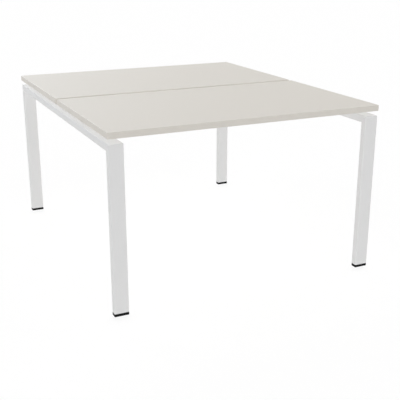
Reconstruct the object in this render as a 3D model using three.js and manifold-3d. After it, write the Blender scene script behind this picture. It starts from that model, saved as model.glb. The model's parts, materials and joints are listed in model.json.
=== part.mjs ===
// Benching desk for two people who sit face to face.
// Two separate tops stand on spacers over two inverted-U end frames of flat steel tube.
// Millimetres, +Z up, origin on the floor under the middle of the desk.
// +X is to the right and -Y is towards the person at the front.

import * as THREE from "three";
import { mergeVertices } from "three/addons/utils/BufferGeometryUtils.js";
import createManifold from "manifold-3d";

// Tops: faced boards with a band on each edge
const DESK_WIDTH = 1200;
const DESK_HEIGHT = 735;
const TOP_DEPTH = 700;
const TOP_THICKNESS = 25;
const CENTRE_GAP = 20;
const BAND_THICKNESS = 2;
const BAND_ROUND = 1.5;
const GLUE_LINE = 0.1;

// Tube of the end frames and beams
const TUBE_WIDTH = 60;
const TUBE_DEPTH = 30;
const TUBE_WALL = 2;
const TUBE_CORNER = 3;
const INNER_CORNER = 1;
const FRAME_INSET = 2;
const FRAME_ROUND = 4;
const MITRE_GAP = 0.3;

// Spacers and screws that hold the tops
const SHADOW_GAP = 20;
const SPACER_RADIUS = 10;
const SPACER_FROM_EDGE = 100;
const SCREW_RADIUS = 3;
const SCREW_CLEARANCE = 0.3;
const SCREW_BITE = 15;
const SCREW_TIP_LENGTH = 3;
const SCREW_TIP_RADIUS = 1.5;
const SCREW_HEAD_RADIUS = 6;
const SCREW_HEAD_HEIGHT = 3.6;
const SCREW_CROWN_RADIUS = 3.5;
const SCREW_KEY_RADIUS = 2.3;
const SCREW_KEY_DEPTH = 2;
const PILOT_SPARE = 2;

// Beams, their end plates, bolts and nut plates
const BEAM_FROM_EDGE = 350;
const END_PLATE_THICKNESS = 4;
const WELD_DEPTH = 2;
const NUT_PLATE_THICKNESS = 5;
const BOLT_FROM_BEAM = 12;
const BOLT_TO_PLATE_END = 12;
const BOLT_RADIUS = 4;
const BOLT_CLEARANCE = 0.4;
const BOLT_TAIL = 3;
const BOLT_TIP_LENGTH = 1.5;
const BOLT_TIP_RADIUS = 3;
const BOLT_HEAD_RADIUS = 7;
const BOLT_HEAD_HEIGHT = 4.4;
const BOLT_CROWN_RADIUS = 4.2;
const BOLT_KEY_RADIUS = 2.9;
const BOLT_KEY_DEPTH = 2.6;

// Bumper in the middle of each beam
const BUMPER_RADIUS = 12;
const BUMPER_NECK_RADIUS = 4;
const BUMPER_CLEARANCE = 0.3;
const BUMPER_BARB_RADIUS = 5;
const BUMPER_BARB_HEIGHT = 5;
const BUMPER_BARB_END_RADIUS = 2;

// Levelling feet
const FOOT_TRAVEL = 15;
const PAD_HEIGHT = 7.5;
const PAD_FLOOR = 1.4;
const RUN_CLEARANCE = 0.3;
const FLANGE_THICKNESS = 4;
const PLUG_DEPTH = 28;
const PLUG_WALL = 2.2;
const PLUG_FIT = 0.3;
const BOSS_RADIUS = 9;
const RIB_THICKNESS = 2.4;
const STUD_RADIUS = 5;
const STUD_GRIP = 18;
const STUD_CHAMFER = 1;
const COLLAR_RADIUS = 8;
const COLLAR_HEIGHT = 2.4;
const STUD_KEY_RADIUS = 2.9;
const STUD_KEY_DEPTH = 4;
const KEY_HOLE_RADIUS = 3.6;

// Gap between faces that rest on each other, how far a cutter runs past its piece,
// and how finely round shapes are drawn
const SEAT = 0.2;
const SPARE_CUT = 5;
const ARC_STEPS = 2;
const KEY_SIDES = 6;
const FIXING_SIDES = 12;
const ROUND_SIDES = 16;
const JOIN_DISTANCE = 1e-4;

// Places and sizes that follow from those above
const halfWidth = DESK_WIDTH / 2;
const halfDepth = TOP_DEPTH + CENTRE_GAP / 2;
const frameX = halfWidth - FRAME_INSET - TUBE_WIDTH / 2;
const frameHalfDepth = halfDepth - FRAME_INSET;
const legY = frameHalfDepth - TUBE_DEPTH / 2;
const beamY = halfDepth - BEAM_FROM_EDGE;
const outerScrewY = halfDepth - SPACER_FROM_EDGE;
const innerScrewY = CENTRE_GAP / 2 + SPACER_FROM_EDGE;
const topUnderside = DESK_HEIGHT - TOP_THICKNESS;
const railTop = topUnderside - SHADOW_GAP;
const railUnderside = railTop - TUBE_DEPTH;
const railZ = railTop - TUBE_DEPTH / 2;
const spacerHeight = SHADOW_GAP - 2 * SEAT;
const plugZ = PAD_HEIGHT + RUN_CLEARANCE;
const legZ = plugZ + FLANGE_THICKNESS + SEAT;
const boltOffset = TUBE_WIDTH / 2 + BOLT_FROM_BEAM;
const plateLength = 2 * (boltOffset + BOLT_TO_PLATE_END);
const screwHole = SCREW_RADIUS + SCREW_CLEARANCE;
const boltHole = BOLT_RADIUS + BOLT_CLEARANCE;

const QUARTER_TURN = Math.PI / 2;
const HALF_TURN = Math.PI;

const FINISHES = {
  melamine: { color: 0xdddad4, roughness: 0.55, metalness: 0 },
  edging: { color: 0xd1cdc6, roughness: 0.5, metalness: 0 },
  powderCoat: { color: 0xdcdcdc, roughness: 0.45, metalness: 0 },
  blackPlastic: { color: 0x17171a, roughness: 0.6, metalness: 0 },
  zincSteel: { color: 0xb4b8bc, roughness: 0.35, metalness: 1 },
  rubber: { color: 0x2b2b2d, roughness: 0.85, metalness: 0 },
};

const manifold = await createManifold();
manifold.setup();

// A closed solid from a three.js geometry, with its corners joined and empty triangles left out.
function toSolid(geometry) {
  const bare = geometry.index ? geometry.toNonIndexed() : geometry.clone();
  bare.deleteAttribute("normal");
  bare.deleteAttribute("uv");
  const joined = mergeVertices(bare, JOIN_DISTANCE);
  const corners = joined.index.array;
  const triangles = [];
  for (let i = 0; i < corners.length; i += 3) {
    const [a, b, c] = corners.slice(i, i + 3);
    if (a !== b && b !== c && c !== a) {
      triangles.push(a, b, c);
    }
  }
  const mesh = new manifold.Mesh({
    numProp: 3,
    vertProperties: new Float32Array(joined.attributes.position.array),
    triVerts: new Uint32Array(triangles),
  });
  return new manifold.Manifold(mesh);
}

function toGeometry(solid) {
  const mesh = solid.getMesh();
  const indexed = new THREE.BufferGeometry();
  indexed.setAttribute("position", new THREE.BufferAttribute(mesh.vertProperties, 3));
  indexed.setIndex(new THREE.BufferAttribute(mesh.triVerts, 1));
  const flat = indexed.toNonIndexed();
  flat.computeVertexNormals();
  return flat;
}

function addGroup(parent, x, y, z) {
  const group = new THREE.Group();
  group.position.set(x, y, z);
  parent.add(group);
  return group;
}

// Puts one named piece at a place in its group, turned about Z.
function addPiece(group, name, geometry, finish, x, y, z, turn = 0) {
  const mesh = new THREE.Mesh(geometry, new THREE.MeshStandardMaterial(FINISHES[finish]));
  mesh.name = name;
  mesh.position.set(x, y, z);
  mesh.rotation.z = turn;
  group.add(mesh);
}

// A drawing in x and y, stood up so that it is in y and z and its depth is along X.
const sideOn = new THREE.Matrix4().makeBasis(
  new THREE.Vector3(0, 1, 0),
  new THREE.Vector3(0, 0, 1),
  new THREE.Vector3(1, 0, 0),
);

// A drawing in x and y, laid down so that its depth is along Y.
const alongY = new THREE.Matrix4().makeBasis(
  new THREE.Vector3(1, 0, 0),
  new THREE.Vector3(0, 0, -1),
  new THREE.Vector3(0, 1, 0),
);

function roundedRectangle(width, height, radius) {
  const x = width / 2;
  const y = height / 2;
  const outline = new THREE.Shape();
  outline.moveTo(-x + radius, -y);
  outline.lineTo(x - radius, -y);
  outline.absarc(x - radius, -y + radius, radius, -QUARTER_TURN, 0);
  outline.lineTo(x, y - radius);
  outline.absarc(x - radius, y - radius, radius, 0, QUARTER_TURN);
  outline.lineTo(-x + radius, y);
  outline.absarc(-x + radius, y - radius, radius, QUARTER_TURN, HALF_TURN);
  outline.lineTo(-x, -y + radius);
  outline.absarc(-x + radius, -y + radius, radius, HALF_TURN, HALF_TURN + QUARTER_TURN);
  return outline;
}

function hollowRectangle(width, height, radius, wall) {
  const section = roundedRectangle(width, height, radius);
  section.holes.push(roundedRectangle(width - 2 * wall, height - 2 * wall, INNER_CORNER));
  return section;
}

function extrude(outline, length) {
  const settings = { depth: length, bevelEnabled: false, curveSegments: ARC_STEPS };
  return new THREE.ExtrudeGeometry(outline, settings);
}

// A length of the desk's tube, standing on the origin.
function tube(length) {
  return extrude(hollowRectangle(TUBE_WIDTH, TUBE_DEPTH, TUBE_CORNER, TUBE_WALL), length);
}

function cylinder(radius, height, sides) {
  return new THREE.CylinderGeometry(radius, radius, height, sides).rotateX(QUARTER_TURN);
}

// A turned piece about Z from its outline of [radius, height], listed from the bottom up.
function turnedPiece(outline, sides) {
  const points = outline.map(([radius, height]) => new THREE.Vector2(radius, height));
  return toSolid(new THREE.LatheGeometry(points, sides).rotateX(QUARTER_TURN));
}

function drill(solid, radius, length, x, y, z) {
  return solid.subtract(toSolid(cylinder(radius, length, FIXING_SIDES).translate(x, y, z)));
}

function drillAlongX(solid, radius, length, x, y) {
  const bit = cylinder(radius, length, FIXING_SIDES).rotateY(QUARTER_TURN);
  return solid.subtract(toSolid(bit.translate(x, y, 0)));
}

// Board of one top with blind pilot holes from below. Its middle is the origin.
function board(screwPlaces) {
  const trim = 2 * (BAND_THICKNESS + GLUE_LINE);
  const pilotDepth = SCREW_BITE + PILOT_SPARE;
  const block = new THREE.BoxGeometry(DESK_WIDTH - trim, TOP_DEPTH - trim, TOP_THICKNESS);
  let solid = toSolid(block);
  for (const [x, y] of screwPlaces) {
    solid = drill(solid, screwHole, 2 * pilotDepth, x, y, -TOP_THICKNESS / 2);
  }
  return toGeometry(solid);
}

// Edge band along X with its rounded face towards -Y. Its middle is the origin.
function edgeBand(length) {
  const back = BAND_THICKNESS / 2;
  const half = TOP_THICKNESS / 2;
  const arcY = BAND_ROUND - back;
  const arcZ = half - BAND_ROUND;
  const section = new THREE.Shape();
  section.moveTo(back, -half);
  section.lineTo(back, half);
  section.lineTo(arcY, half);
  section.absarc(arcY, arcZ, BAND_ROUND, QUARTER_TURN, HALF_TURN);
  section.lineTo(-back, -arcZ);
  section.absarc(arcY, -arcZ, BAND_ROUND, HALF_TURN, HALF_TURN + QUARTER_TURN);
  return extrude(section, length).translate(0, 0, -length / 2).applyMatrix4(sideOn);
}

// A cutter with an outline in y and z, wide enough for the tube.
function sideCutter(outline) {
  const width = TUBE_WIDTH + 2 * SPARE_CUT;
  return extrude(outline, width).translate(0, 0, -width / 2).applyMatrix4(sideOn);
}

// The outer edge of a mitred corner is at y = 0 and z = 0 for these three cutters,
// with the frame towards +y and -z. The first two take what lies beyond the joint.
function aboveMitre() {
  const reach = TUBE_DEPTH + SPARE_CUT;
  const halfGap = MITRE_GAP / Math.SQRT2;
  const outline = new THREE.Shape();
  outline.moveTo(-SPARE_CUT, SPARE_CUT - halfGap);
  outline.lineTo(reach, -reach - halfGap);
  outline.lineTo(reach, SPARE_CUT);
  outline.lineTo(-SPARE_CUT, SPARE_CUT);
  return sideCutter(outline);
}

function belowMitre() {
  const reach = TUBE_DEPTH + SPARE_CUT;
  const halfGap = MITRE_GAP / Math.SQRT2;
  const outline = new THREE.Shape();
  outline.moveTo(-SPARE_CUT, SPARE_CUT + halfGap);
  outline.lineTo(-SPARE_CUT, -reach);
  outline.lineTo(reach + halfGap, -reach);
  return sideCutter(outline);
}

// The corner's outer edge, which is ground round.
function outerEdge() {
  const outline = new THREE.Shape();
  outline.moveTo(-SPARE_CUT, -FRAME_ROUND);
  outline.lineTo(0, -FRAME_ROUND);
  outline.absarc(FRAME_ROUND, -FRAME_ROUND, FRAME_ROUND, HALF_TURN, QUARTER_TURN, true);
  outline.lineTo(FRAME_ROUND, SPARE_CUT);
  outline.lineTo(-SPARE_CUT, SPARE_CUT);
  return sideCutter(outline);
}

// Front leg, standing on the origin, with the mitre at its top.
function leg() {
  const length = railTop - legZ;
  let solid = toSolid(tube(length));
  for (const cutter of [aboveMitre(), outerEdge()]) {
    solid = solid.subtract(toSolid(cutter.translate(0, -TUBE_DEPTH / 2, length)));
  }
  return toGeometry(solid);
}

// Cross rail of the left frame. Its middle is the origin, and its bolt holes are towards +X.
function rail() {
  const length = 2 * frameHalfDepth;
  let solid = toSolid(tube(length).translate(0, 0, -length / 2).applyMatrix4(alongY));
  for (const turn of [0, HALF_TURN]) {
    for (const cutter of [belowMitre(), outerEdge()]) {
      cutter.translate(0, -frameHalfDepth, TUBE_DEPTH / 2).rotateZ(turn);
      solid = solid.subtract(toSolid(cutter));
    }
  }
  for (const y of [-outerScrewY, -innerScrewY, innerScrewY, outerScrewY]) {
    solid = drill(solid, screwHole, TUBE_DEPTH + 2 * SPARE_CUT, 0, y, 0);
  }
  for (const y of [-beamY, beamY]) {
    for (const offset of [-boltOffset, boltOffset]) {
      solid = drillAlongX(solid, boltHole, TUBE_WALL + 2 * SPARE_CUT, TUBE_WIDTH / 2, y + offset);
    }
  }
  return toGeometry(solid);
}

// Beam along X: a length of tube let into a plate at each end and welded. Its middle is the origin.
function beam() {
  const half = frameX - TUBE_WIDTH / 2 - SEAT;
  const plateX = half - END_PLATE_THICKNESS / 2;
  const length = 2 * (half - END_PLATE_THICKNESS + WELD_DEPTH);
  const bar = tube(length).translate(0, 0, -length / 2).applyMatrix4(alongY);
  let solid = toSolid(bar.rotateZ(QUARTER_TURN));
  for (const x of [-plateX, plateX]) {
    const plate = new THREE.BoxGeometry(END_PLATE_THICKNESS, plateLength, TUBE_DEPTH);
    solid = solid.add(toSolid(plate.translate(x, 0, 0)));
    for (const y of [-boltOffset, boltOffset]) {
      solid = drillAlongX(solid, boltHole, END_PLATE_THICKNESS + 2 * SPARE_CUT, x, y);
    }
  }
  const neckHole = BUMPER_NECK_RADIUS + BUMPER_CLEARANCE;
  return toGeometry(drill(solid, neckHole, TUBE_WALL + 2 * SPARE_CUT, 0, 0, TUBE_DEPTH / 2));
}

// Tapped plate inside the rail, against the wall that the beam is bolted to.
function nutPlate() {
  const height = TUBE_DEPTH - 2 * TUBE_WALL - 2 * TUBE_CORNER;
  let solid = toSolid(new THREE.BoxGeometry(NUT_PLATE_THICKNESS, plateLength, height));
  for (const y of [-boltOffset, boltOffset]) {
    solid = drillAlongX(solid, boltHole, NUT_PLATE_THICKNESS + 2 * SPARE_CUT, 0, y);
  }
  return toGeometry(solid);
}

// Fixing that points up, with the seat of its head at the origin and a hexagon key hole below.
function headedFixing({ shank, head, headHeight, crown, length, tip, tipLength, key, keyDepth }) {
  const outline = [
    [0, -headHeight],
    [crown, -headHeight],
    [head, -headHeight / 2],
    [head, 0],
    [shank, 0],
    [shank, length - tipLength],
    [tip, length],
    [0, length],
  ];
  const keyHole = cylinder(key, 2 * keyDepth, KEY_SIDES).translate(0, 0, -headHeight);
  return toGeometry(turnedPiece(outline, FIXING_SIDES).subtract(toSolid(keyHole)));
}

function topScrew() {
  return headedFixing({
    shank: SCREW_RADIUS,
    head: SCREW_HEAD_RADIUS,
    headHeight: SCREW_HEAD_HEIGHT,
    crown: SCREW_CROWN_RADIUS,
    length: TUBE_DEPTH + SHADOW_GAP + SCREW_BITE,
    tip: SCREW_TIP_RADIUS,
    tipLength: SCREW_TIP_LENGTH,
    key: SCREW_KEY_RADIUS,
    keyDepth: SCREW_KEY_DEPTH,
  });
}

// Bolt of the left frame, which points to -X.
function beamBolt() {
  const grip = END_PLATE_THICKNESS + TUBE_WALL + NUT_PLATE_THICKNESS + 3 * SEAT;
  const bolt = headedFixing({
    shank: BOLT_RADIUS,
    head: BOLT_HEAD_RADIUS,
    headHeight: BOLT_HEAD_HEIGHT,
    crown: BOLT_CROWN_RADIUS,
    length: grip + BOLT_TAIL,
    tip: BOLT_TIP_RADIUS,
    tipLength: BOLT_TIP_LENGTH,
    key: BOLT_KEY_RADIUS,
    keyDepth: BOLT_KEY_DEPTH,
  });
  return bolt.rotateY(-QUARTER_TURN);
}

// Spacer between rail and top, standing on the origin.
function spacer() {
  const outline = [
    [screwHole, 0],
    [SPACER_RADIUS, 0],
    [SPACER_RADIUS, spacerHeight],
    [screwHole, spacerHeight],
    [screwHole, 0],
  ];
  return toGeometry(turnedPiece(outline, ROUND_SIDES));
}

// Bumper that stands on a beam at the origin, with a barbed neck through the beam's wall.
function bumper() {
  const barbTop = -TUBE_WALL - 2 * SEAT;
  const barbEnd = barbTop - BUMPER_BARB_HEIGHT;
  const outline = [
    [0, barbEnd],
    [BUMPER_BARB_END_RADIUS, barbEnd],
    [BUMPER_BARB_RADIUS, barbTop],
    [BUMPER_NECK_RADIUS, barbTop],
    [BUMPER_NECK_RADIUS, 0],
    [BUMPER_RADIUS, 0],
    [BUMPER_RADIUS, spacerHeight],
    [0, spacerHeight],
  ];
  return toGeometry(turnedPiece(outline, ROUND_SIDES));
}

// Plug in the end of a leg. Its flange stands on the origin, and its boss takes the stud.
function footPlug() {
  const width = TUBE_WIDTH - 2 * (TUBE_WALL + PLUG_FIT);
  const depth = TUBE_DEPTH - 2 * (TUBE_WALL + PLUG_FIT);
  const height = FLANGE_THICKNESS + PLUG_DEPTH;
  const flange = extrude(roundedRectangle(TUBE_WIDTH, TUBE_DEPTH, TUBE_CORNER), FLANGE_THICKNESS);
  const skirt = extrude(hollowRectangle(width, depth, INNER_CORNER, PLUG_WALL), height);
  const rib = new THREE.BoxGeometry(width - PLUG_WALL, RIB_THICKNESS, height);
  const boss = cylinder(BOSS_RADIUS, height, ROUND_SIDES);
  const bore = cylinder(STUD_RADIUS + RUN_CLEARANCE, 2 * (height + SPARE_CUT), ROUND_SIDES);
  const solid = toSolid(flange)
    .add(toSolid(skirt))
    .add(toSolid(rib.translate(0, 0, height / 2)))
    .add(toSolid(boss.translate(0, 0, height / 2)));
  return toGeometry(solid.subtract(toSolid(bore)));
}

// Stud of a foot, measured from the floor. Its collar turns inside the pad.
function footStud() {
  const collar = PAD_FLOOR + RUN_CLEARANCE;
  const shoulder = collar + COLLAR_HEIGHT;
  const tip = plugZ + STUD_GRIP + FOOT_TRAVEL;
  const outline = [
    [0, collar],
    [COLLAR_RADIUS, collar],
    [COLLAR_RADIUS, shoulder],
    [STUD_RADIUS, shoulder],
    [STUD_RADIUS, tip - STUD_CHAMFER],
    [STUD_RADIUS - STUD_CHAMFER, tip],
    [0, tip],
  ];
  const keyHole = cylinder(STUD_KEY_RADIUS, 2 * STUD_KEY_DEPTH, KEY_SIDES).translate(0, 0, collar);
  return toGeometry(turnedPiece(outline, ROUND_SIDES).subtract(toSolid(keyHole)));
}

// Pad of a foot, standing on the floor, with a hollow that holds the stud's collar.
function footPad() {
  const roof = PAD_FLOOR + COLLAR_HEIGHT + 2 * RUN_CLEARANCE;
  const collarHole = COLLAR_RADIUS + RUN_CLEARANCE;
  const studHole = STUD_RADIUS + RUN_CLEARANCE;
  const hollow = [
    [0, -SPARE_CUT],
    [KEY_HOLE_RADIUS, -SPARE_CUT],
    [KEY_HOLE_RADIUS, PAD_FLOOR],
    [collarHole, PAD_FLOOR],
    [collarHole, roof],
    [studHole, roof],
    [studHole, PAD_HEIGHT + SPARE_CUT],
    [0, PAD_HEIGHT + SPARE_CUT],
  ];
  const block = extrude(roundedRectangle(TUBE_WIDTH, TUBE_DEPTH, TUBE_CORNER), PAD_HEIGHT);
  return toGeometry(toSolid(block).subtract(turnedPiece(hollow, ROUND_SIDES)));
}

// facing turns a piece made for the front to the rear, and one made for the left to the right.
const FRONT_AND_REAR = [
  { end: "front", sign: -1, facing: 0 },
  { end: "rear", sign: 1, facing: HALF_TURN },
];
const LEFT_AND_RIGHT = [
  { side: "left", sign: -1, facing: 0 },
  { side: "right", sign: 1, facing: HALF_TURN },
];
const OUTER_AND_INNER = [
  { row: "outer", screwY: outerScrewY, boltY: beamY + boltOffset },
  { row: "inner", screwY: innerScrewY, boltY: beamY - boltOffset },
];

const desk = new THREE.Group();
desk.name = "benching_desk_for_two";

// Tops: a board with a band on each edge. The long bands cover the ends of the short ones.
const longBandY = (TOP_DEPTH - BAND_THICKNESS) / 2;
const shortBandX = (DESK_WIDTH - BAND_THICKNESS) / 2;
const shortBandLength = TOP_DEPTH - 2 * (BAND_THICKNESS + GLUE_LINE);
for (const { end, sign, facing } of FRONT_AND_REAR) {
  const topY = sign * (CENTRE_GAP + TOP_DEPTH) / 2;
  const top = addGroup(desk, 0, topY, topUnderside + TOP_THICKNESS / 2);
  const screwPlaces = [];
  for (const { screwY } of OUTER_AND_INNER) {
    const y = sign * screwY - topY;
    screwPlaces.push([-frameX, y], [frameX, y]);
  }
  addPiece(top, `${end}_top_board`, board(screwPlaces), "melamine", 0, 0, 0);
  const outerBand = edgeBand(DESK_WIDTH);
  const innerBand = edgeBand(DESK_WIDTH);
  addPiece(top, `${end}_top_outer_band`, outerBand, "edging", 0, sign * longBandY, 0, facing);
  addPiece(top, `${end}_top_inner_band`, innerBand, "edging", 0, -sign * longBandY, 0, facing + HALF_TURN);
  for (const { side, sign: sideSign } of LEFT_AND_RIGHT) {
    const turn = sideSign * QUARTER_TURN;
    const band = edgeBand(shortBandLength);
    addPiece(top, `${end}_top_${side}_band`, band, "edging", sideSign * shortBandX, 0, 0, turn);
  }
}

// Beams, each with its bumper
for (const { end, sign } of FRONT_AND_REAR) {
  const middle = addGroup(desk, 0, sign * beamY, railZ);
  addPiece(middle, `${end}_beam`, beam(), "powderCoat", 0, 0, 0);
  addPiece(middle, `${end}_beam_bumper`, bumper(), "rubber", 0, 0, TUBE_DEPTH / 2 + SEAT);
}

// End frames with their feet, and what fixes the beams and tops to them
for (const { side, sign, facing } of LEFT_AND_RIGHT) {
  const frame = addGroup(desk, sign * frameX, 0, 0);
  addPiece(frame, `${side}_frame_rail`, rail(), "powderCoat", 0, 0, railZ, facing);
  const wallX = -sign * TUBE_WIDTH / 2;
  const nutX = wallX + sign * (TUBE_WALL + SEAT + NUT_PLATE_THICKNESS / 2);
  const boltX = wallX - sign * (END_PLATE_THICKNESS + 2 * SEAT);
  for (const { end, sign: endSign, facing: legFacing } of FRONT_AND_REAR) {
    const corner = `${side}_${end}`;
    const standing = addGroup(frame, 0, endSign * legY, 0);
    addPiece(standing, `${corner}_leg`, leg(), "powderCoat", 0, 0, legZ, legFacing);
    addPiece(standing, `${corner}_foot_plug`, footPlug(), "blackPlastic", 0, 0, plugZ);
    addPiece(standing, `${corner}_foot_stud`, footStud(), "zincSteel", 0, 0, 0);
    addPiece(standing, `${corner}_foot_pad`, footPad(), "blackPlastic", 0, 0, 0);
    addPiece(frame, `${corner}_nut_plate`, nutPlate(), "zincSteel", nutX, endSign * beamY, railZ);
    for (const { row, screwY, boltY } of OUTER_AND_INNER) {
      const fixing = `${corner}_${row}`;
      const fixed = addGroup(frame, 0, endSign * screwY, 0);
      addPiece(fixed, `${fixing}_spacer`, spacer(), "powderCoat", 0, 0, railTop + SEAT);
      addPiece(fixed, `${fixing}_screw`, topScrew(), "zincSteel", 0, 0, railUnderside - SEAT);
      addPiece(frame, `${fixing}_bolt`, beamBolt(), "zincSteel", boltX, endSign * boltY, railZ, facing);
    }
  }
}

export default desk;
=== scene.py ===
import json
import math

import bpy
import numpy as np
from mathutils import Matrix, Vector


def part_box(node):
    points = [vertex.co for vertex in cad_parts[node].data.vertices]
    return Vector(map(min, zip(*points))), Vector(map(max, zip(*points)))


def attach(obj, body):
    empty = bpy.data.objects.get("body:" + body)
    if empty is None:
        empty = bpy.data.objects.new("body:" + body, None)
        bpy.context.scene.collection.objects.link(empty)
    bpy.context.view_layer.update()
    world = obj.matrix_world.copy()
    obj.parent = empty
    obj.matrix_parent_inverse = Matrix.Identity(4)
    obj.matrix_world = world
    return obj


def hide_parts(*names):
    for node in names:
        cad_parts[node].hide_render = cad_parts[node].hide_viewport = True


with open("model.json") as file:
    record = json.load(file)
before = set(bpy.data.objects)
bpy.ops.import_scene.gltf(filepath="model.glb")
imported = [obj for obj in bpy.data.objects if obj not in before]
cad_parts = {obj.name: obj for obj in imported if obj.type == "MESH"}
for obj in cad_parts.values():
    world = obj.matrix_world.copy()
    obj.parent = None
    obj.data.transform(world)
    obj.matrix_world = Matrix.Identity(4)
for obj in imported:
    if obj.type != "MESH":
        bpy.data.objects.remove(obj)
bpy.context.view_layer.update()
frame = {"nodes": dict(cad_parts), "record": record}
scene = bpy.context.scene
scene.view_settings.view_transform = "Standard"


# Viewpoint
# The desk is seen from its front left corner and a little above the tops, through a long lens
# that keeps the legs nearly upright.
EYE = (-1.3973, -3.1992, 1.3504)
TURN_RIGHT = math.radians(25.05)
TILT_DOWN = math.radians(18.51)
LENS = 66.9
SENSOR = 36.0

camera = bpy.data.objects.new("camera", bpy.data.cameras.new("camera"))
camera.data.lens = LENS
camera.data.sensor_width = SENSOR
camera.location = EYE
camera.rotation_euler = (math.pi / 2 - TILT_DOWN, 0, -TURN_RIGHT)
scene.collection.objects.link(camera)
scene.camera = camera


# Studio
# A pale floor lies in an even white room, just below the reach of feet that are screwed right out. Some
# light comes from the room and is held back under the tops, and the rest from four wide lamps that cast
# no shadow. A fifth, a little cool, stands behind on the left and shows only as a sheen on the tops.
FLOOR_HALF = 30.0
FLOOR_LEVEL = -0.0152
FLOOR_COLOUR = (0.86, 0.86, 0.86, 1.0)
WHITE = (1.0, 1.0, 1.0, 1.0)
SHADOW_SHARE = 0.25
FLOOR_SEEN = (0.96, 0.96, 0.96, 1.0)
ROOM_LIGHT = 0.24
LAMP_RISE = math.radians(29.3)
LAMP_SPREAD = math.radians(50.5)
# Each lamp's place in degrees, clockwise from the rear, and its power
LAMPS = {
    "rear": (0, 1.15),
    "right": (90, 1.43),
    "front": (180, 1.26),
    "left": (270, 1.2),
    "sheen": (-15, 2.37),
}
SHEEN_COLOUR = (0.9, 1.0, 1.13)


class Value:
    """An output socket of a node. Sums and products with it add Math nodes to its tree."""

    def __init__(self, tree, socket=None):
        self.tree = tree
        self.socket = socket

    def fill(self, node, inputs):
        """Gives each named or numbered input of a node its link or plain value."""
        for name, value in inputs.items():
            if isinstance(value, Value):
                self.tree.links.new(value.socket, node.inputs[name])
            else:
                node.inputs[name].default_value = value

    def node(self, kind, settings, inputs, output=0):
        """Adds a node with its settings and then its inputs, and returns one of its outputs."""
        added = self.tree.nodes.new("ShaderNode" + kind)
        for name, setting in settings.items():
            setattr(added, name, setting)
        self.fill(added, inputs)
        return Value(self.tree, added.outputs[output])

    def maths(self, operation, *others):
        """Adds a Math node that works on this value and the others."""
        return self.node("Math", {"operation": operation}, dict(enumerate((self, *others))))

    def colour(self, first, second):
        """Adds a Mix node for a colour between two, with this value as the share of the second."""
        return self.node("Mix", {"data_type": "RGBA"}, {0: self, 6: first, 7: second}, output=2)

    def __add__(self, other):
        return self.maths("ADD", other)

    def __mul__(self, other):
        return self.maths("MULTIPLY", other)

    def __sub__(self, other):
        return self.maths("SUBTRACT", other)

    def __rsub__(self, other):
        return self * -1 + other

    def __abs__(self):
        return self.maths("ABSOLUTE")

    __radd__ = __add__
    __rmul__ = __mul__


def seen_by_eye(tree):
    """1 for a ray from the eye, off a shiny face or through a clear one, and 0 for one that lights."""
    kinds = ("Camera", "Glossy", "Transmission")
    camera_ray, glossy, through = (
        Value(tree).node("LightPath", {}, {}, output=f"Is {kind} Ray") for kind in kinds
    )
    return camera_ray.maths("MAXIMUM", glossy).maths("MAXIMUM", through)


room = bpy.data.worlds.new("white_room")
room.use_nodes = True
seen = seen_by_eye(room.node_tree)
brightness = seen * (1 - ROOM_LIGHT) + ROOM_LIGHT
seen.fill(room.node_tree.nodes["Background"], {"Color": WHITE, "Strength": brightness})
scene.world = room

pale_floor = bpy.data.materials.new("pale_floor")
pale_floor.use_nodes = True
seen = seen_by_eye(pale_floor.node_tree)
matt = seen.node("BsdfDiffuse", {}, {"Color": seen.colour(FLOOR_COLOUR, FLOOR_SEEN)})
glow = seen.node("Emission", {}, {"Color": WHITE, "Strength": 1.0})
blend = seen.node("MixShader", {}, {0: seen * (1 - SHADOW_SHARE), 1: matt, 2: glow})
seen.fill(pale_floor.node_tree.nodes["Material Output"], {"Surface": blend})

floor_mesh = bpy.data.meshes.new("floor")
floor_corners = np.array([[-1, -1], [1, -1], [1, 1], [-1, 1]]) * FLOOR_HALF
floor_corners = np.column_stack([floor_corners, np.full(4, FLOOR_LEVEL)])
floor_mesh.from_pydata(floor_corners.tolist(), [], [[0, 1, 2, 3]])
floor_mesh.materials.append(pale_floor)
floor = bpy.data.objects.new("floor", floor_mesh)
scene.collection.objects.link(floor)

for name, (turn, power) in LAMPS.items():
    sheen = name == "sheen"
    light = bpy.data.lights.new(f"{name}_lamp", "SUN")
    light.energy = power
    light.color = SHEEN_COLOUR if sheen else WHITE[:3]
    light.angle = LAMP_SPREAD
    light.use_shadow = False
    lamp = bpy.data.objects.new(f"{name}_lamp", light)
    lamp.visible_glossy = sheen
    lamp.visible_diffuse = not sheen
    lamp.rotation_euler = (math.pi / 2 - LAMP_RISE, 0, math.pi - math.radians(turn))
    scene.collection.objects.link(lamp)


# End frames
# Each end of the desk is an inverted U of flat steel tube, two legs mitred to a cross rail. The mitres
# are welded and ground flush, and the frame is powder coated white.
TUBE_WALL = 0.002
TUBE_CORNER = 0.003
BORE_CORNER = 0.001
FRAME_ROUND = 0.004
ARC_STEPS = 6
MITRE_STEPS = 4
SMOOTH_ANGLE = math.radians(35)
MITRE = math.pi / 4
COAT_WHITE = (218, 218, 218)
COAT_SHADE = (213, 213, 213)
COAT_GLOSS = 0.11
COAT_ROUGHNESS = (0.5, 0.6)
PEEL_SIZE = 0.0028
PEEL_DEPTH = 0.00003
SAND_SIZE = 0.0004
SAND_DEPTH = 0.000005
SAND_SHARE = 0.8
SPECKLE_STEP = (0.3, 0.7)
WELD_HALF_WIDTH = 0.0025
WELD_HEIGHT = 0.00008

leg_low, leg_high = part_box("left_front_leg")
rail_low, rail_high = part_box("left_frame_rail")
tube_width = leg_high.x - leg_low.x
tube_depth = leg_high.y - leg_low.y


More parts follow.
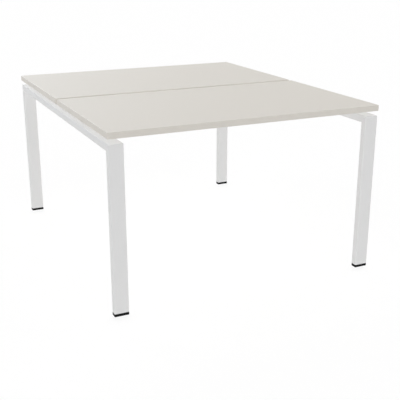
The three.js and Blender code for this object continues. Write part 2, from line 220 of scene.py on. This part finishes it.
def as_shown(red, green, blue):
    """Scene colour of a paint that is given as it shows on a screen, from 0 to 255. The screen's curve
    starts with a short straight stretch and goes on as a power."""
    shown = np.array([red, green, blue]) / 255
    linear = np.where(shown <= 0.04045, shown / 12.92, ((shown + 0.055) / 1.055) ** 2.4)
    return (*linear.tolist(), 1.0)


def start_finish(name):
    """A new material, and the place in metres of each point of the piece that wears it."""
    material = bpy.data.materials.new(name)
    material.use_nodes = True
    place = Value(material.node_tree).node("TexCoord", {}, {}, output="Object")
    return material, place


def end_finish(material, sockets):
    """Gives a material's shader the value or link of each named socket."""
    Value(material.node_tree).fill(material.node_tree.nodes["Principled BSDF"], sockets)


def grain(place, size, detail=2.0):
    """Noise from 0 to 1 with features of a size in metres."""
    return place.node("TexNoise", {}, {"Vector": place, "Scale": 1 / size, "Detail": detail})


def axis(place, number):
    """One of the three coordinates of a place, counted from 0."""
    return place.node("SeparateXYZ", {}, {0: place}, output=number)


def fade(value, start, end):
    """0 up to start and 1 from end on, with a smooth step between."""
    step = {"interpolation_type": "SMOOTHSTEP"}
    return value.node("MapRange", step, {"Value": value, "From Min": start, "From Max": end})


def ranged(share, low, high):
    """A value that goes from low to high as a share goes from 0 to 1."""
    return share * (high - low) + low


def tinted(share, first, second):
    """A colour between two that are given as shown on a screen, with a share of the second."""
    return share.colour(as_shown(*first), as_shown(*second))


def bumped(height):
    """The normal of a surface raised by a height in metres."""
    return height.node("Bump", {}, {"Strength": 1.0, "Distance": 1.0, "Height": height})


powder_coat, place = start_finish("white_powder_coat")
peel = grain(place, PEEL_SIZE)
sand = grain(place, SAND_SIZE)
speckle = fade(sand * SAND_SHARE + peel * (1 - SAND_SHARE), *SPECKLE_STEP)
mitre_line = leg_low.y + rail_high.z
from_mitre = abs(abs(axis(place, 1)) - axis(place, 2) + mitre_line) * math.sqrt(0.5)
weld = 1 - fade(from_mitre, 0, WELD_HALF_WIDTH)
end_finish(powder_coat, {
    "Base Color": tinted(speckle, COAT_SHADE, COAT_WHITE),
    "Roughness": ranged(peel, *COAT_ROUGHNESS),
    "Specular IOR Level": COAT_GLOSS,
    "Normal": bumped(peel * PEEL_DEPTH + sand * SAND_DEPTH + weld * WELD_HEIGHT),
})


def rounded_rectangle(width, depth, corner, side_steps=1):
    """Loop round a rectangle with arcs for corners: each arc is a quarter turn about a centre set in
    from its corner, and the straight sides between the arcs are cut into equal steps."""
    centres = (np.array([width, depth]) / 2 - corner) * [[1, 1], [-1, 1], [-1, -1], [1, -1]]
    angles = (np.linspace(0, 1, ARC_STEPS + 1) + np.arange(4)[:, None]) * np.pi / 2
    arcs = centres[:, None] + corner * np.stack([np.cos(angles), np.sin(angles)], axis=-1)
    ends = arcs[:, -1:]
    starts = np.roll(arcs[:, :1], -1, axis=0)
    sides = ends + (starts - ends) * (np.arange(1, side_steps) / side_steps)[:, None]
    return np.concatenate([arcs, sides], axis=1).reshape(-1, 2)


def round_the_corner(section, turns):
    """Loops where a front leg turns into its rail. The part of the tube that is near its outer face
    follows an arc about one line, and the rest meets on the mitre and has a short straight run instead.
    A turn of 0 is on the leg, and a quarter turn is on the rail."""
    depth = section[:, 0] + tube_depth / 2
    flat = np.minimum(depth, tube_depth - FRAME_ROUND)
    radius = depth - flat
    run = FRAME_ROUND - radius
    turn = turns[:, None]
    x = np.broadcast_to(section[:, 1], (len(turns), len(section)))
    y = leg_high.y - flat - radius * np.cos(turn) + run * np.maximum(turn - MITRE, 0)
    z = rail_low.z + flat + radius * np.sin(turn) - run * np.maximum(MITRE - turn, 0)
    return np.stack([x, y, z], axis=-1)


def up_the_leg(section):
    """Loops of a front leg from its foot to the mitre: the lowest loop of the turn is brought straight
    down to the foot, and the rest follow the turn through its first half."""
    top = round_the_corner(section, np.linspace(0, MITRE, MITRE_STEPS))
    foot = top[:1] * [1, 1, 0] + [0, 0, leg_low.z]
    return np.concatenate([foot, top])


def along_the_rail(section):
    """Loops of a rail from mitre to mitre: the second half of the front turn, and then its mirror image
    at the rear."""
    front = round_the_corner(section, np.linspace(MITRE, 2 * MITRE, MITRE_STEPS))
    return np.concatenate([front, front[::-1] * [1, -1, 1]])


def hollow(run):
    """Loops along the outside of a tube and back along its bore."""
    outside = rounded_rectangle(tube_depth, tube_width, TUBE_CORNER)
    bore = rounded_rectangle(tube_depth - 2 * TUBE_WALL, tube_width - 2 * TUBE_WALL, BORE_CORNER)
    return np.concatenate([run(outside), run(bore)[::-1]])


def quads_between(loops, ring, first):
    """Faces of a closed skin over loops of points: four corners join each loop to the next, and then
    the last loop joins the first in a ring, or a flat face closes each end."""
    corners = np.arange(loops.shape[0] * loops.shape[1]).reshape(loops.shape[:2]) + first
    lower = corners if ring else corners[:-1]
    upper = np.roll(corners, -1, axis=0)[:len(lower)]
    quads = np.stack([lower, np.roll(lower, -1, axis=1), np.roll(upper, -1, axis=1), upper], axis=-1)
    ends = [] if ring else [corners[0, ::-1].tolist(), corners[-1].tolist()]
    return quads.reshape(-1, 4).tolist() + ends


def add_piece(name, skins, finish, body, node, smooth=SMOOTH_ANGLE):
    """One object that rides on a body and stands for a CAD node. Each of its skins is a stack of loops,
    and whether the last of them joins the first."""
    points = np.concatenate([loops.reshape(-1, 3) for loops, ring in skins])
    faces = []
    first = 0
    for loops, ring in skins:
        faces += quads_between(loops, ring, first)
        first += loops.shape[0] * loops.shape[1]
    mesh = bpy.data.meshes.new(name)
    mesh.from_pydata(points.tolist(), [], faces)
    mesh.shade_smooth()
    mesh.set_sharp_from_angle(angle=smooth)
    mesh.materials.append(finish)
    piece = bpy.data.objects.new(name, mesh)
    scene.collection.objects.link(piece)
    piece.modifiers.new("flat_faces_stay_flat", "WEIGHTED_NORMAL").keep_sharp = True
    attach(piece, body)
    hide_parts(node)


SIDES = ("left", "right")
ENDS = ("front", "rear")
FACING = {"front": [1, 1, 1], "rear": [-1, -1, 1]}

for side in SIDES:
    node = f"{side}_frame_rail"
    low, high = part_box(node)
    middle = [(low.x + high.x) / 2, 0, 0]
    rail = hollow(along_the_rail) + middle
    add_piece(f"{side}_rail_tube", [(rail, True)], powder_coat, "desk", node)
    for end in ENDS:
        node = f"{side}_{end}_leg"
        leg = hollow(up_the_leg) * FACING[end] + middle
        add_piece(f"{node}_tube", [(leg, True)], powder_coat, "desk", node)


# Foot plugs
# A black plug, moulded in tough plastic, is pressed into the end of each leg. Its flange closes the
# tube and is flush with it, and the boss in its middle takes the thread of the foot.
PLUG_FIT = 0.0003
PLUG_WALL = 0.0022
PLUG_CORNER = 0.001
BOSS_RADIUS = 0.009
STUD_BORE = 0.0053
RIB_THICKNESS = 0.0024
MOULD_EDGE = 0.0004
FOOT_SIDE_STEPS = 8
PLASTIC_BLACK = (13, 13, 14)
PLASTIC_GREY = (22, 22, 23)
MOULD_GLOSS = 0.12
MOULD_ROUGHNESS = (0.55, 0.75)
SPARK_SIZE = 0.0006
SPARK_DETAIL = 3.0
SPARK_DEPTH = 0.00002
CLOUD_SIZE = 0.006
CLOUD_SHARE = 0.4

black_plastic, place = start_finish("black_moulded_plastic")
spark = grain(place, SPARK_SIZE, SPARK_DETAIL)
cloud = spark * (1 - CLOUD_SHARE) + grain(place, CLOUD_SIZE) * CLOUD_SHARE
end_finish(black_plastic, {
    "Base Color": tinted(cloud, PLASTIC_BLACK, PLASTIC_GREY),
    "Roughness": ranged(spark, *MOULD_ROUGHNESS),
    "Specular IOR Level": MOULD_GLOSS,
    "Normal": bumped(spark * SPARK_DEPTH),
})


def foot_loop(inset, height, corner=TUBE_CORNER):
    """Loop of the foot's outline, which is that of the tube, drawn in by an inset."""
    width = tube_width - 2 * inset
    depth = tube_depth - 2 * inset
    flat = rounded_rectangle(width, depth, corner, FOOT_SIDE_STEPS)
    return np.column_stack([flat, np.full(len(flat), height)])


def round_loop(radius, height):
    """Circle whose points lie in the same directions as those of the foot's outline."""
    flat = foot_loop(0, 0)[:, :2]
    circle = flat / np.linalg.norm(flat, axis=1)[:, None] * radius
    return np.column_stack([circle, np.full(len(circle), height)])


plug_low, plug_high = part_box("left_front_foot_plug")
flange_top = leg_low.z
skirt = TUBE_WALL + PLUG_FIT
plug_loops = np.stack([
    foot_loop(MOULD_EDGE, plug_low.z, TUBE_CORNER - MOULD_EDGE),
    foot_loop(0, plug_low.z + MOULD_EDGE),
    foot_loop(0, flange_top),
    foot_loop(skirt, flange_top, PLUG_CORNER),
    foot_loop(skirt, plug_high.z, PLUG_CORNER),
    foot_loop(skirt + PLUG_WALL, plug_high.z, PLUG_CORNER),
    foot_loop(skirt + PLUG_WALL, flange_top, PLUG_CORNER),
    round_loop(BOSS_RADIUS, flange_top),
    round_loop(BOSS_RADIUS, plug_high.z),
    round_loop(STUD_BORE, plug_high.z),
    round_loop(STUD_BORE, plug_low.z),
])
rib_start = BOSS_RADIUS - RIB_THICKNESS / 2
rib_end = tube_width / 2 - skirt - PLUG_WALL / 2
rib_flat = rounded_rectangle(rib_end - rib_start, RIB_THICKNESS, MOULD_EDGE)
rib_flat = rib_flat + [(rib_start + rib_end) / 2, 0]
rib_loops = np.stack([
    np.column_stack([rib_flat, np.full(len(rib_flat), height)]) for height in (flange_top, plug_high.z)
])


def over(node):
    """The place of a node's middle on the floor."""
    low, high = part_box(node)
    return [(low.x + high.x) / 2, (low.y + high.y) / 2, 0]


CORNERS = [f"{side}_{end}" for side in SIDES for end in ENDS]
for corner in CORNERS:
    node = f"{corner}_foot_plug"
    spot = over(node)
    skins = [(plug_loops + spot, True)]
    skins += [(rib_loops * facing + spot, False) for facing in FACING.values()]
    add_piece(f"{node}_moulding", skins, black_plastic, "desk", node)


# Foot studs
# A zinc plated stud with a coarse metric thread carries each foot. Its collar turns inside the pad, and
# a hexagon key fits the end of it from below.
STUD_RADIUS = 0.005
COLLAR_HEIGHT = 0.0024
EDGE_BREAK = 0.0003
KEY_RADIUS = 0.0029
KEY_DEPTH = 0.004
TIP_CHAMFER = 0.001
ROUND_POINTS = 36
ROWS_PER_THREAD = 8
THREAD_DEPTH_SHARE = 0.6
FLANK_STRETCH = 1.3
ROOT_FLAT = 0.1
ZINC_BLUE = (176, 182, 190)
ZINC_YELLOW = (192, 190, 180)
ZINC_ROUGHNESS = (0.22, 0.38)
HAZE_SIZE = 0.004
HAZE_DETAIL = 4.0
SCRATCH_SIZE = 0.0012
SCRATCH_DETAIL = 6.0
SCRATCH_DEPTH = 0.000004
SCRATCH_ROUGHNESS = 0.1

zinc_steel, place = start_finish("zinc_plated_steel")
haze = grain(place, HAZE_SIZE, HAZE_DETAIL)
scratch = grain(place, SCRATCH_SIZE, SCRATCH_DETAIL)
end_finish(zinc_steel, {
    "Base Color": tinted(haze, ZINC_BLUE, ZINC_YELLOW),
    "Metallic": 1.0,
    "Roughness": ranged(haze, *ZINC_ROUGHNESS) + scratch * SCRATCH_ROUGHNESS,
    "Normal": bumped(scratch * SCRATCH_DEPTH),
})

round_angles = np.linspace(0, 2 * np.pi, ROUND_POINTS, endpoint=False)


def turned(radius, height):
    """Loops about Z: each point lies at its radius in its own direction, and at its height. Both are
    one number for each loop, or one for each of its points."""
    radius = np.array(radius).reshape(len(radius), -1)
    height = np.array(height).reshape(len(height), -1)
    parts = (radius * np.cos(round_angles), radius * np.sin(round_angles), height)
    return np.stack(np.broadcast_arrays(*parts), axis=-1)


def key_hole(radius, depth, mouth):
    """Loops of a hexagon hole from its floor down to its mouth, which is a little wider. The distance
    of a hexagon's side is least in the middle of each sixth of a turn."""
    sixth = np.pi / 3
    hexagon = radius * np.cos(sixth / 2) / np.cos(round_angles % sixth - sixth / 2)
    rows = np.stack([hexagon, hexagon, hexagon + EDGE_BREAK])
    return turned(rows, [mouth + depth, mouth + EDGE_BREAK, mouth])


def threaded(radius, pitch, low, high):
    """Loops of a right-hand thread: the radius swings between root and crest as height less the share
    of a turn runs through each pitch. The swing is a zigzag, stretched and cut flat at root and crest,
    and both ends fade into the root."""
    depth = THREAD_DEPTH_SHARE * pitch
    height = np.arange(low, high, pitch / ROWS_PER_THREAD)[:, None]
    phase = (height / pitch - round_angles / (2 * np.pi)) % 1
    crest = np.clip(FLANK_STRETCH * (1 - abs(2 * phase - 1)) - ROOT_FLAT, 0, 1)
    faded = np.clip((height - low) / pitch, 0, 1) * np.clip((high - height) / pitch, 0, 1)
    return turned(radius - depth + depth * crest * faded, height)


stud_low, stud_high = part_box("left_front_foot_stud")
collar_radius = (stud_high.x - stud_low.x) / 2
shoulder = stud_low.z + COLLAR_HEIGHT
thread_pitch = 2 * math.pi / frame["record"]["behaviour"]["couplings"][0]["ratio"]
thread_end = stud_high.z - TIP_CHAMFER
stud_loops = np.concatenate([
    key_hole(KEY_RADIUS, KEY_DEPTH, stud_low.z),
    turned(
        [collar_radius - EDGE_BREAK, collar_radius, collar_radius, collar_radius - EDGE_BREAK],
        [stud_low.z, stud_low.z + EDGE_BREAK, shoulder - EDGE_BREAK, shoulder],
    ),
    threaded(STUD_RADIUS, thread_pitch, shoulder, thread_end),
    turned([STUD_RADIUS - TIP_CHAMFER, STUD_RADIUS - 2 * TIP_CHAMFER], [thread_end, stud_high.z]),
])
for corner in CORNERS:
    node = f"{corner}_foot_stud"
    skins = [(stud_loops + over(node), False)]
    add_piece(f"{node}_thread", skins, zinc_steel, f"{corner}_stud", node, math.pi)


# Foot pads
# Each foot stands on a black pad with the outline of the leg, moulded round the collar of its stud. The
# key reaches the stud through a hole in the sole.
PAD_SOLE = 0.0014
PAD_ROOF = 0.0044
COLLAR_HOLE = 0.0083
KEY_WAY = 0.0036
PAD_EDGE = 0.0004
GROOVE_HEIGHT = 0.0042
GROOVE_HALF = 0.0003
GROOVE_DEPTH = 0.0003
SCUFF_GREY = (30, 30, 29)
SCUFF_HEIGHT = 0.0015
SCUFF_SIZE = 0.003
SCUFF_DETAIL = 4.0
SCUFF_STEP = (0.45, 0.7)
SCUFF_ROUGHNESS = 0.2

worn_plastic, place = start_finish("black_sole_plastic")
spark = grain(place, SPARK_SIZE, SPARK_DETAIL)
rubbed = fade(grain(place, SCUFF_SIZE, SCUFF_DETAIL), *SCUFF_STEP)
scuff = (1 - fade(axis(place, 2), 0, SCUFF_HEIGHT)) * rubbed
end_finish(worn_plastic, {
    "Base Color": tinted(scuff, PLASTIC_BLACK, SCUFF_GREY),
    "Roughness": ranged(spark, *MOULD_ROUGHNESS) + scuff * SCUFF_ROUGHNESS,
    "Specular IOR Level": MOULD_GLOSS,
    "Normal": bumped(spark * SPARK_DEPTH),
})

pad_low, pad_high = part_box("left_front_foot_pad")
pad_loops = np.stack([
    foot_loop(PAD_EDGE, pad_low.z, TUBE_CORNER - PAD_EDGE),
    foot_loop(0, pad_low.z + PAD_EDGE),
    foot_loop(0, GROOVE_HEIGHT - GROOVE_HALF),
    foot_loop(GROOVE_DEPTH, GROOVE_HEIGHT, TUBE_CORNER - GROOVE_DEPTH),
    foot_loop(0, GROOVE_HEIGHT + GROOVE_HALF),
    foot_loop(0, pad_high.z - MOULD_EDGE),
    foot_loop(MOULD_EDGE, pad_high.z, TUBE_CORNER - MOULD_EDGE),
    round_loop(STUD_BORE, pad_high.z),
    round_loop(STUD_BORE, PAD_ROOF),
    round_loop(COLLAR_HOLE, PAD_ROOF),
    round_loop(COLLAR_HOLE, PAD_SOLE),
    round_loop(KEY_WAY, PAD_SOLE),
    round_loop(KEY_WAY, pad_low.z),
])
for corner in CORNERS:
    node = f"{corner}_foot_pad"
    skins = [(pad_loops + over(node), True)]
    add_piece(f"{node}_moulding", skins, worn_plastic, f"{corner}_pad", node)


# Nut plates
# A tapped strip of zinc plated steel lies inside each rail behind a beam's end, and the beam's bolts
# draw it against the wall of the tube.
for corner in CORNERS:
    frame["nodes"][f"{corner}_nut_plate"].material_slots[0].material = zinc_steel


# Beams
# Two lengths of the same tube tie the end frames together. Each has a plate welded to both ends, with a
# fillet weld up either side, and is powder coated with the frames.
PLATE_THICKNESS = 0.004
PLATE_EDGE = 0.0006
LET_IN = 0.002
FILLET = 0.003
FILLET_RIPPLE = 0.0016
RIPPLE_SHARE = 0.12
FILLET_MARGIN = 0.002
FILLET_ROWS = 61


def across_beam(width, depth, corner, x):
    """Loop of a rounded rectangle that stands upright across the beam at a place along it."""
    flat = rounded_rectangle(width, depth, corner)
    return np.column_stack([np.full(len(flat), x), flat])


def beam_tube(reach):
    """Loops along the outside of a beam from end to end and back along its bore."""
    bore_width = tube_width - 2 * TUBE_WALL
    bore_depth = tube_depth - 2 * TUBE_WALL
    outside = [across_beam(tube_width, tube_depth, TUBE_CORNER, x) for x in (-reach, reach)]
    bore = [across_beam(bore_width, bore_depth, BORE_CORNER, x) for x in (reach, -reach)]
    return np.stack(outside + bore)


def end_plate(width, near, far):
    """Loops through a plate as deep as the tube, from its near to its far face. The first and the last
    are drawn in, so that the edges of both faces are broken."""
    stations = ((near, PLATE_EDGE), (near + PLATE_EDGE, 0), (far - PLATE_EDGE, 0), (far, PLATE_EDGE))
    return np.stack([
        across_beam(width - 2 * inset, tube_depth - 2 * inset, PLATE_EDGE, x) for x, inset in stations
    ])


def fillet_weld(plate_face):
    """Loops up the inner corner of tube and plate, one for each height: the corner itself and a quarter
    circle about it. The circle's radius swings a little with height, as the drops of a weld do."""
    rise = np.linspace(-1, 1, FILLET_ROWS)[:, None] * (tube_depth / 2 - FILLET_MARGIN)
    drops = abs(np.cos(np.pi * rise / FILLET_RIPPLE))
    radius = FILLET * (1 - RIPPLE_SHARE + RIPPLE_SHARE * drops)
    sweep = np.linspace(0, np.pi / 2, ARC_STEPS + 1)
    x = plate_face - radius * np.sin(sweep)
    y = tube_width / 2 + radius * np.cos(sweep)
    bead = np.stack(np.broadcast_arrays(x, y, rise), axis=-1)
    heel = np.stack(np.broadcast_arrays(plate_face, tube_width / 2, rise), axis=-1)
    return np.concatenate([heel, bead], axis=1)


for end in ENDS:
    node = f"{end}_beam"
    low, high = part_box(node)
    spot = np.array([0, (low.y + high.y) / 2, (low.z + high.z) / 2])
    plate_face = high.x - PLATE_THICKNESS
    plate = end_plate(high.y - low.y, plate_face, high.x)
    weld_run = fillet_weld(plate_face)
    skins = [(beam_tube(plate_face + LET_IN) + spot, True)]
    skins += [(plate * facing + spot, False) for facing in FACING.values()]
    for along in (-1, 1):
        for across in (-1, 1):
            skins.append((weld_run[:, ::along * across] * [along, across, 1] + spot, False))
    add_piece(f"{node}_weldment", skins, powder_coat, "desk", node)


# Beam bolts
# Zinc plated button head screws with a hexagon key hole pass through the end plate and the wall of the
# rail into the nut plate.
BOLT_HEAD_HEIGHT = 0.0044
BOLT_CROWN = 0.0042
BOLT_RADIUS = 0.004
BOLT_KEY_DEPTH = 0.0026
DOME_STEPS = 6


def headed_screw(shank, head, head_height, crown, length, key, key_depth):
    """Loops of a screw that points up from the seat of its head: a hexagon hole, a dome that is a
    quarter of an ellipse from the crown out to a short rim, and a plain shank with a broken tip."""
    sweep = np.linspace(0, np.pi / 2, DOME_STEPS + 1)
    dome_radius = crown + (head - crown) * np.sin(sweep)
    dome_height = -head_height + (head_height - 2 * EDGE_BREAK) * (1 - np.cos(sweep))
    return np.concatenate([
        key_hole(key, key_depth, -head_height),
        turned(dome_radius, dome_height),
        turned(
            [head, head - EDGE_BREAK, shank, shank, shank - 2 * EDGE_BREAK],
            [-EDGE_BREAK, 0, 0, length - 2 * EDGE_BREAK, length],
        ),
    ])


ROWS = ("outer", "inner")
for side, pointing in (("left", -1), ("right", 1)):
    for end in ENDS:
        for row in ROWS:
            node = f"{side}_{end}_{row}_bolt"
            low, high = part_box(node)
            loops = headed_screw(
                BOLT_RADIUS, (high.y - low.y) / 2, BOLT_HEAD_HEIGHT, BOLT_CROWN,
                high.x - low.x - BOLT_HEAD_HEIGHT, KEY_RADIUS, BOLT_KEY_DEPTH,
            )
            x, y, z = np.moveaxis(loops, -1, 0)
            loops = np.stack([pointing * z, y, -pointing * x], axis=-1)
            head_end = low.x if pointing > 0 else high.x
            seat = [head_end + pointing * BOLT_HEAD_HEIGHT, (low.y + high.y) / 2, (low.z + high.z) / 2]
            skins = [(loops + seat, False)]
            add_piece(f"{node}_button_head", skins, zinc_steel, "desk", node)


# Beam bumpers
# A black rubber bumper stands on the middle of each beam and stops the top from sagging onto it. Its
# barbed stem snaps into a hole in the tube.
BUMPER_EDGE = 0.0025
BUMPER_WAIST = 0.0012
BUMPER_NECK = 0.004
BUMPER_BARB = 0.005
BARB_END = 0.002
BARB_HEIGHT = 0.005
WAIST_STEPS = 8
RUBBER_BLACK = (38, 38, 39)
RUBBER_BLOOM = (56, 56, 56)
RUBBER_ROUGHNESS = (0.72, 0.87)
BLOOM_SIZE = 0.005
BLOOM_DETAIL = 5.0
RUBBER_GRAIN = 0.0007
RUBBER_DEPTH = 0.00002

rubber, place = start_finish("black_rubber")
bloom = grain(place, BLOOM_SIZE, BLOOM_DETAIL)
end_finish(rubber, {
    "Base Color": tinted(bloom, RUBBER_BLACK, RUBBER_BLOOM),
    "Roughness": ranged(bloom, *RUBBER_ROUGHNESS),
    "Normal": bumped(grain(place, RUBBER_GRAIN) * RUBBER_DEPTH),
})


def bumper(radius, tip, foot, head):
    """Loops of a bumper from its tip up: a cone out to the barb, a plain neck, a quarter circle round
    the lower edge, a waist drawn in by half a wave, and a quarter circle round the upper edge."""
    barb_top = tip + BARB_HEIGHT
    sweep = np.linspace(0, np.pi / 2, ARC_STEPS + 1)
    near = BUMPER_EDGE * (1 - np.sin(sweep))
    far = BUMPER_EDGE * (1 - np.cos(sweep))
    share = np.linspace(0, 1, WAIST_STEPS + 1)[1:-1]
    waist_height = foot + BUMPER_EDGE + share * (head - foot - 2 * BUMPER_EDGE)
    return np.concatenate([
        turned([BARB_END, BUMPER_BARB, BUMPER_NECK, BUMPER_NECK], [tip, barb_top, barb_top, foot]),
        turned(radius - near, foot + far),
        turned(radius - BUMPER_WAIST * np.sin(np.pi * share), waist_height),
        turned(radius - far, head - near),
    ])


for end in ENDS:
    node = f"{end}_beam_bumper"
    low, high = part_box(node)
    beam_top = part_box(f"{end}_beam")[1].z
    loops = bumper((high.x - low.x) / 2, low.z, beam_top, high.z)
    add_piece(f"{node}_moulding", [(loops + over(node), False)], rubber, "desk", node)


# Spacers
# Short steel sleeves, turned, chamfered and powder coated, stand on the rails and hold the tops clear
# of them. The screws of the tops pass through them.
SLEEVE_BORE = 0.0033
SLEEVE_CHAMFER = 0.0008

for corner in CORNERS:
    for row in ROWS:
        node = f"{corner}_{row}_spacer"
        low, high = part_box(node)
        radius = (high.x - low.x) / 2
        face = radius - SLEEVE_CHAMFER
        loops = turned(
            [face, radius, radius, face, SLEEVE_BORE, SLEEVE_BORE],
            [low.z, low.z + SLEEVE_CHAMFER, high.z - SLEEVE_CHAMFER, high.z, high.z, low.z],
        )
        skins = [(loops + over(node), True)]
        add_piece(f"{node}_sleeve", skins, powder_coat, "desk", node)


# Top screws
# Zinc plated pan head screws come up through the rails and spacers and bite into the boards from below.
# Only their heads show, under the rails.
SCREW_RADIUS = 0.003
SCREW_HEAD_HEIGHT = 0.0036
SCREW_CROWN = 0.0035
SCREW_KEY = 0.0023
SCREW_KEY_DEPTH = 0.002

for corner in CORNERS:
    for row in ROWS:
        node = f"{corner}_{row}_screw"
        low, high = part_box(node)
        loops = headed_screw(
            SCREW_RADIUS, (high.x - low.x) / 2, SCREW_HEAD_HEIGHT, SCREW_CROWN,
            high.z - low.z - SCREW_HEAD_HEIGHT, SCREW_KEY, SCREW_KEY_DEPTH,
        )
        seat = over(node)
        seat[2] = low.z + SCREW_HEAD_HEIGHT
        add_piece(f"{node}_pan_head", [(loops + seat, False)], zinc_steel, "desk", node)


# Top boards
# Each top is a particle board faced on both sides with off-white melamine, pressed to a fine pearl
# grain that is only felt and seen in the gloss.
MELAMINE_LIGHT = (209, 205, 198)
MELAMINE_SHADE = (200, 196, 189)
MELAMINE_GLOSS = 0.15
MELAMINE_ROUGHNESS = (0.54, 0.66)
PEARL_SIZE = 0.0011
PEARL_DETAIL = 3.0
PEARL_DEPTH = 0.00003
PEARL_STEP = (0.3, 0.7)

melamine, place = start_finish("off_white_melamine")
pearl = grain(place, PEARL_SIZE, PEARL_DETAIL)
end_finish(melamine, {
    "Base Color": tinted(fade(pearl, *PEARL_STEP), MELAMINE_SHADE, MELAMINE_LIGHT),
    "Roughness": ranged(pearl, *MELAMINE_ROUGHNESS),
    "Specular IOR Level": MELAMINE_GLOSS,
    "Normal": bumped(pearl * PEARL_DEPTH),
})
for end in ENDS:
    frame["nodes"][f"{end}_top_board"].material_slots[0].material = melamine


# Edge bands
# Strips of solid plastic edging, matched to the boards, are glued to all four sides of each top. Their
# long edges are milled round, and the front and rear strips are rounded over the corners.
BAND_ROUND = 0.0015
BAND_STEPS = 5
EDGING_LIGHT = (207, 203, 196)
EDGING_SHADE = (203, 199, 192)
EDGING_ROUGHNESS = (0.42, 0.56)
EDGING_PEARL_DEPTH = 0.000006
STREAKS_PER_METRE = (6.0, 6.0, 900.0)
STREAK_DETAIL = 3.0
STREAK_DEPTH = 0.000008

edging, place = start_finish("off_white_edging")
drawn_out = place.node("VectorMath", {"operation": "MULTIPLY"}, {0: place, 1: STREAKS_PER_METRE})
streak = grain(drawn_out, 1.0, STREAK_DETAIL)
end_finish(edging, {
    "Base Color": tinted(streak, EDGING_SHADE, EDGING_LIGHT),
    "Roughness": ranged(streak, *EDGING_ROUGHNESS),
    "Specular IOR Level": MELAMINE_GLOSS,
    "Normal": bumped(streak * STREAK_DEPTH + grain(place, PEARL_SIZE) * EDGING_PEARL_DEPTH),
})


def edge_band(length, thickness, height, end_round):
    """Loops of a strip that faces -Y, one for each height. The face draws in round its top and bottom
    edges by a quarter of a circle, and each end is a quarter of an ellipse about its back corner."""
    sweep = np.linspace(0, np.pi / 2, BAND_STEPS + 1)
    inset = BAND_ROUND * (1 - np.sin(sweep))
    rise = -height / 2 + BAND_ROUND * (1 - np.cos(sweep))
    inset = np.concatenate([inset, inset[::-1]])[:, None]
    rise = np.concatenate([rise, -rise[::-1]])[:, None]
    around = np.pi + np.concatenate([sweep, sweep + np.pi / 2])
    centre = np.repeat([-1, 1], len(sweep)) * (length / 2 - end_round)
    x = centre + end_round * (1 - inset / thickness) * np.cos(around)
    y = thickness / 2 + (thickness - inset) * np.sin(around)
    return np.stack(np.broadcast_arrays(x, y, rise), axis=-1)


BAND_TURNS = {"outer": 0, "right": 1, "inner": 2, "left": 3}
for end in ENDS:
    for edge, quarters in BAND_TURNS.items():
        node = f"{end}_top_{edge}_band"
        low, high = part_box(node)
        size = high - low
        thickness = min(size.x, size.y)
        end_round = thickness if edge in ROWS else 0.0
        loops = edge_band(max(size.x, size.y), thickness, size.z, end_round)
        facing = FACING[end] if edge in ROWS else FACING["front"]
        x, y, z = np.moveaxis(loops, -1, 0)
        cos = round(math.cos(quarters * math.pi / 2))
        sin = round(math.sin(quarters * math.pi / 2))
        loops = np.stack([cos * x - sin * y, sin * x + cos * y, z], axis=-1) * facing
        middle = list((low + high) / 2)
        add_piece(f"{node}_strip", [(loops + middle, False)], edging, "desk", node)
